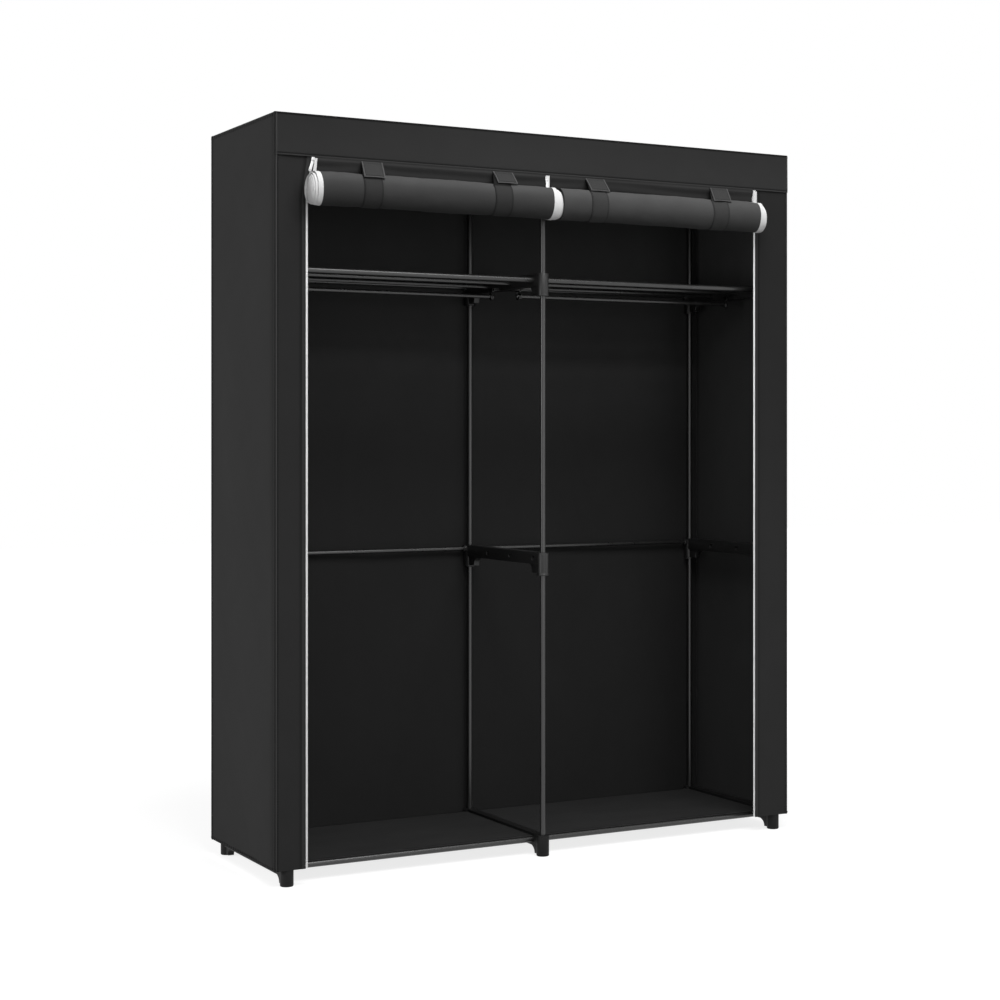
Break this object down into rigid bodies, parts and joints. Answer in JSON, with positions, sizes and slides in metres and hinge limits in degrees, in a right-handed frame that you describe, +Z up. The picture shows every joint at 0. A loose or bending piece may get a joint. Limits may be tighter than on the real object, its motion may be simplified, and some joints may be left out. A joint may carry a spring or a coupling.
{
  "type": "portable fabric wardrobe",
  "caption": "Freestanding wardrobe of steel tubes and moulded brackets under a sewn cloth cover, with rolled-up doors, a top shelf of tubes and hanging rods.",
  "frame": {"origin": "middle of the bounding box's base, at floor level", "axes": "+Z up, +X to the right and -Y towards a person who stands before the open doors"},
  "size_m": [1.4, 0.4938, 1.74],
  "materials": {
    "cover_cloth": "matt, finely pebbled non-woven polypropylene",
    "lining_cloth": "matt, finely pebbled non-woven polypropylene",
    "door_cloth": "matt, finely pebbled non-woven polypropylene",
    "strap_cloth": "matt woven hook tape",
    "tube_steel": "glossy black powder coat",
    "bracket_plastic": "satin moulded black",
    "zip_teeth": "satin white",
    "zip_metal": "satin white enamel"
  },
  "bodies": {
    "frame": {"base_bracket_left": "bracket_plastic", "base_bracket_middle": "bracket_plastic", "base_bracket_right": "bracket_plastic", "middle_bracket_left": "bracket_plastic", "middle_bracket_middle": "bracket_plastic", "middle_bracket_right": "bracket_plastic", "shelf_bracket_left": "bracket_plastic", "shelf_bracket_middle": "bracket_plastic", "shelf_bracket_right": "bracket_plastic", "top_bracket_left": "bracket_plastic", "top_bracket_middle": "bracket_plastic", "top_bracket_right": "bracket_plastic", "post_front_left": "tube_steel", "post_back_left": "tube_steel", "post_front_middle": "tube_steel", "post_back_middle": "tube_steel", "post_front_right": "tube_steel", "post_back_right": "tube_steel", "base_rail_front_left": "tube_steel", "base_rail_back_left": "tube_steel", "middle_rail_back_left": "tube_steel", "top_rail_front_left": "tube_steel", "top_rail_back_left": "tube_steel", "shelf_tube_left_1": "tube_steel", "shelf_tube_left_2": "tube_steel", "shelf_tube_left_3": "tube_steel", "shelf_tube_left_4": "tube_steel", "floor_cloth_left": "lining_cloth", "rolled_door_left": "door_cloth", "zip_chain_left": "zip_teeth", "base_rail_front_right": "tube_steel", "base_rail_back_right": "tube_steel", "middle_rail_back_right": "tube_steel", "top_rail_front_right": "tube_steel", "top_rail_back_right": "tube_steel", "shelf_tube_right_1": "tube_steel", "shelf_tube_right_2": "tube_steel", "shelf_tube_right_3": "tube_steel", "shelf_tube_right_4": "tube_steel", "floor_cloth_right": "lining_cloth", "rolled_door_right": "door_cloth", "zip_chain_right": "zip_teeth", "cover_roof": "cover_cloth", "cover_side_left": "cover_cloth", "cover_side_right": "cover_cloth", "cover_front_flap": "cover_cloth", "cover_front_frame": "cover_cloth", "cover_back": "lining_cloth", "zip_slider_middle": "zip_metal"},
    "rod_left": {"hanging_rod_left": "tube_steel"},
    "rod_right": {"hanging_rod_right": "tube_steel"},
    "slider_left": {"zip_slider_left": "zip_metal"},
    "slider_right": {"zip_slider_right": "zip_metal"},
    "pull_left": {"zip_pull_left": "zip_metal"},
    "pull_right": {"zip_pull_right": "zip_metal"},
    "pull_middle": {"zip_pull_middle": "zip_metal"},
    "strap_1": {"strap_tab_1": "strap_cloth"},
    "strap_2": {"strap_tab_2": "strap_cloth"},
    "strap_3": {"strap_tab_3": "strap_cloth"},
    "strap_4": {"strap_tab_4": "strap_cloth"}
  },
  "joints": [
    {"name": "rod_left_spin", "type": "hinge", "parent": "frame", "child": "rod_left", "pos_m": [-0.338, 0.05188, 1.364], "axis": [1, 0, 0], "continuous": true},
    {"name": "rod_right_spin", "type": "hinge", "parent": "frame", "child": "rod_right", "pos_m": [0.328, 0.01188, 1.364], "axis": [1, 0, 0], "continuous": true},
    {"name": "zip_left_slide", "type": "slide", "parent": "frame", "child": "slider_left", "axis": [-0.008, 0, -1], "range_m": [0, 1.58]},
    {"name": "pull_left_swing", "type": "hinge", "parent": "slider_left", "child": "pull_left", "pos_m": [-0.61019, -0.18652, 1.6385], "axis": [-0.987, 0, 0.1609], "range_deg": [0, 140]},
    {"name": "zip_right_slide", "type": "slide", "parent": "frame", "child": "slider_right", "axis": [0, 0, -1], "range_m": [0, 1.58]},
    {"name": "pull_right_swing", "type": "hinge", "parent": "slider_right", "child": "pull_right", "pos_m": [0.5958, -0.18652, 1.6385], "axis": [-1, 0, 0], "range_deg": [0, 140]},
    {"name": "pull_middle_swing", "type": "hinge", "parent": "frame", "child": "pull_middle", "pos_m": [-0.0117, -0.19112, 1.6315], "axis": [-1, 0, 0], "range_deg": [0, 140]},
    {"name": "strap_1_lift", "type": "hinge", "parent": "frame", "child": "strap_1", "pos_m": [-0.462, -0.18832, 1.641], "axis": [-1, 0, 0], "range_deg": [0, 120]},
    {"name": "strap_2_lift", "type": "hinge", "parent": "frame", "child": "strap_2", "pos_m": [-0.118, -0.18832, 1.641], "axis": [-1, 0, 0], "range_deg": [0, 120]},
    {"name": "strap_3_lift", "type": "hinge", "parent": "frame", "child": "strap_3", "pos_m": [0.126, -0.18832, 1.641], "axis": [-1, 0, 0], "range_deg": [0, 120]},
    {"name": "strap_4_lift", "type": "hinge", "parent": "frame", "child": "strap_4", "pos_m": [0.483, -0.18832, 1.641], "axis": [-1, 0, 0], "range_deg": [0, 120]}
  ]
}
